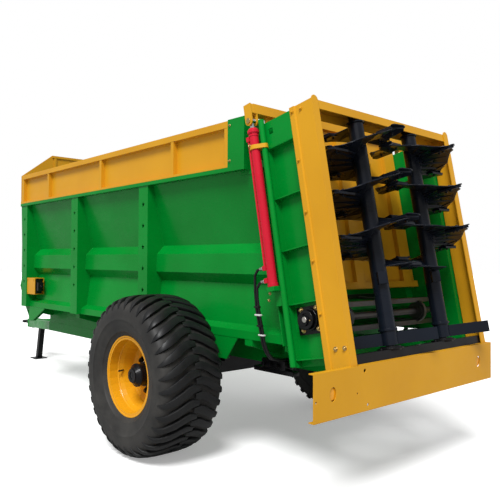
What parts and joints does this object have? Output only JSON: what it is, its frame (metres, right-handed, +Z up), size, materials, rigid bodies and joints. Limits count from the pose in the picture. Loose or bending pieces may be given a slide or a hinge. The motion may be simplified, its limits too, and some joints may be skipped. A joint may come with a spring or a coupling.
{
  "type": "manure spreader",
  "caption": "Towed single-axle manure spreader with a high-sided hopper, a rear gate that lifts on hydraulic cylinders, and upright screw beaters",
  "frame": {"origin": "on the ground under the middle of the overall length and width", "axes": "+X forwards to the tow eye, +Y to the machine's left, +Z up"},
  "size_m": [7.2972, 2.82, 2.825],
  "materials": {
    "green_paint": "glossy",
    "yellow_paint": "satin",
    "red_paint": "glossy",
    "beater_paint": "satin",
    "black_paint": "satin",
    "bright_steel": "bright",
    "worn_steel": "worn",
    "tyre_rubber": "matte",
    "hose_rubber": "matte"
  },
  "bodies": {
    "chassis": {"axle_beam": "black_paint", "beater_base": "black_paint", "beater_bearing_left": "black_paint", "beater_bearing_right": "black_paint", "beater_post_left": "yellow_paint", "beater_post_right": "yellow_paint", "beater_top_beam": "yellow_paint", "chassis": "green_paint", "conveyor_shaft_front": "bright_steel", "conveyor_shaft_rear": "bright_steel", "cylinder_bracket_left": "green_paint", "cylinder_bracket_right": "green_paint", "cylinder_strap_left": "yellow_paint", "cylinder_strap_right": "yellow_paint", "drawbar": "green_paint", "extension_board_left": "yellow_paint", "extension_board_right": "yellow_paint", "floor_conveyor": "worn_steel", "floor_deck": "green_paint", "front_guard": "yellow_paint", "front_gusset_left": "green_paint", "front_gusset_right": "green_paint", "front_wall": "green_paint", "gate_cylinder_left": "red_paint", "gate_cylinder_right": "red_paint", "gate_guide_left": "green_paint", "gate_guide_right": "green_paint", "gate_hoses_left": "hose_rubber", "gate_hoses_right": "hose_rubber", "rear_gearbox": "black_paint", "rear_guard_plate": "yellow_paint", "rear_side_left": "green_paint", "rear_side_right": "green_paint", "shaft_bearing_left": "black_paint", "shaft_bearing_right": "black_paint", "side_wall_left": "green_paint", "side_wall_right": "green_paint", "tensioner_cover_left": "yellow_paint", "tensioner_cover_right": "yellow_paint", "tow_eye": "black_paint", "wheel_skirt_left": "green_paint", "wheel_skirt_right": "green_paint"},
    "wheel_left": {"tyre_left": "tyre_rubber", "rim_left": "yellow_paint", "hub_left": "black_paint"},
    "wheel_right": {"tyre_right": "tyre_rubber", "rim_right": "yellow_paint", "hub_right": "black_paint"},
    "beater_left": {"beater_left": "beater_paint"},
    "beater_right": {"beater_right": "beater_paint"},
    "line_shaft": {"line_shaft": "bright_steel"},
    "gate": {"gate_panel": "yellow_paint", "gate_crossbeam": "yellow_paint", "cylinder_rod_left": "bright_steel", "cylinder_rod_right": "bright_steel"},
    "parking_leg": {"parking_leg": "black_paint"}
  },
  "joints": [
    {"name": "wheel_left_spin", "type": "hinge", "parent": "chassis", "child": "wheel_left", "pos_m": [-1.7914, 1.135, 0.61], "axis": [0, 1, 0], "continuous": true},
    {"name": "beater_left_spin", "type": "hinge", "parent": "chassis", "child": "beater_left", "pos_m": [-3.2744, 0.33, 1.7], "axis": [0.1908, 0, 0.9816], "continuous": true},
    {"name": "wheel_right_spin", "type": "hinge", "parent": "chassis", "child": "wheel_right", "pos_m": [-1.7914, -1.135, 0.61], "axis": [0, 1, 0], "continuous": true},
    {"name": "beater_right_spin", "type": "hinge", "parent": "chassis", "child": "beater_right", "pos_m": [-3.2744, -0.33, 1.7], "axis": [0.1908, 0, 0.9816], "continuous": true},
    {"name": "line_shaft_spin", "type": "hinge", "parent": "chassis", "child": "line_shaft", "pos_m": [-1.7914, 0, 0.74], "axis": [1, 0, 0], "continuous": true},
    {"name": "gate_lift", "type": "slide", "parent": "chassis", "child": "gate", "axis": [0.1908, 0, 0.9816], "range_m": [0, 0.98]},
    {"name": "parking_leg_fold", "type": "hinge", "parent": "chassis", "child": "parking_leg", "pos_m": [2.9786, 0, 0.535], "axis": [0, 1, 0], "range_deg": [0, 80]}
  ],
  "couplings": [
    {"joint": "beater_right_spin", "follows": "beater_left_spin", "ratio": -1},
    {"joint": "line_shaft_spin", "follows": "beater_left_spin", "ratio": 2.4}
  ]
}
